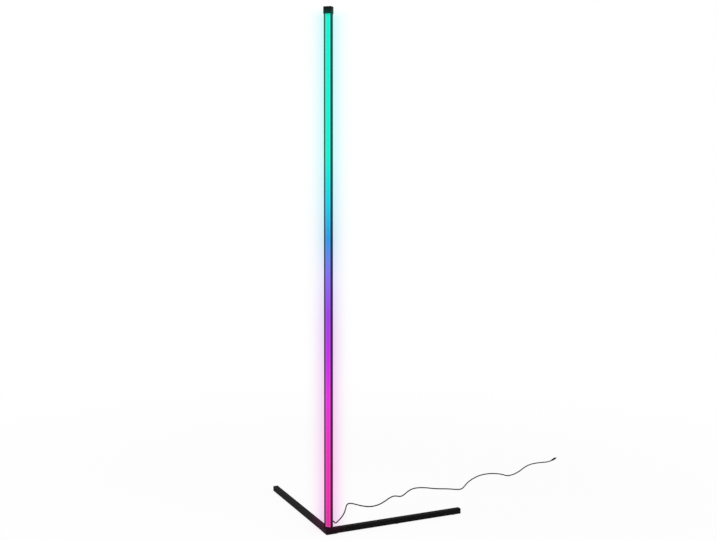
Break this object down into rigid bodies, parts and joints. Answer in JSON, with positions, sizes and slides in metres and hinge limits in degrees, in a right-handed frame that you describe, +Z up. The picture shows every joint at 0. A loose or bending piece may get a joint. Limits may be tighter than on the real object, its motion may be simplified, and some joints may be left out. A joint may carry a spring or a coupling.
{
  "type": "corner floor lamp",
  "caption": "Slim corner floor lamp: a black extruded pole with a full-length strip of coloured light on a low V-shaped base, with a low-voltage lead.",
  "frame": {"origin": "on the floor under the pole's axis, on the corner pad's underside", "axes": "+Z up along the pole; the light faces -Y; the base's two arms run back at 45 degrees to either side of +Y"},
  "size_m": [0.7589, 0.9637, 1.4],
  "materials": {
    "pole_black": "satin black anodised",
    "base_black": "matt black powder coat",
    "foot_steel": "matt black powder coat",
    "block_zinc": "dull cast",
    "splice_steel": "zinc plated",
    "screw_steel": "black oxide",
    "plug_plastic": "matt",
    "cap_plastic": "satin",
    "pad_rubber": "matt",
    "opal_light": "opal, lit from behind",
    "strip_white": "white solder mask",
    "chip_light": "clear resin on white",
    "board_green": "solder mask",
    "part_black": "moulded",
    "lead_cover": "satin",
    "relief_rubber": "matt",
    "cord_cover": "satin",
    "contact_plate": "nickel plated"
  },
  "bodies": {
    "root": {"pole_lower": "pole_black", "pole_upper": "pole_black", "foot_bracket": "foot_steel", "base_arm_left": "base_black", "base_arm_right": "base_black", "corner_block": "block_zinc", "arm_screws": "screw_steel", "pole_screws": "screw_steel", "foot_screws": "screw_steel", "splice_screws": "screw_steel", "splice_bar": "splice_steel", "end_plug_left": "plug_plastic", "end_plug_right": "plug_plastic", "corner_pad": "pad_rubber", "arm_pads": "pad_rubber", "top_cap": "cap_plastic", "diffuser": "opal_light", "led_strip": "strip_white", "led_chips": "chip_light", "control_board": "board_green", "board_parts": "part_black", "strip_leads": "lead_cover", "inner_leads": "lead_cover", "cord_relief": "relief_rubber", "power_cord": "cord_cover", "plug_body": "cord_cover", "plug_barrel": "contact_plate", "plug_insulator": "part_black", "plug_contact": "contact_plate"}
  },
  "joints": []
}
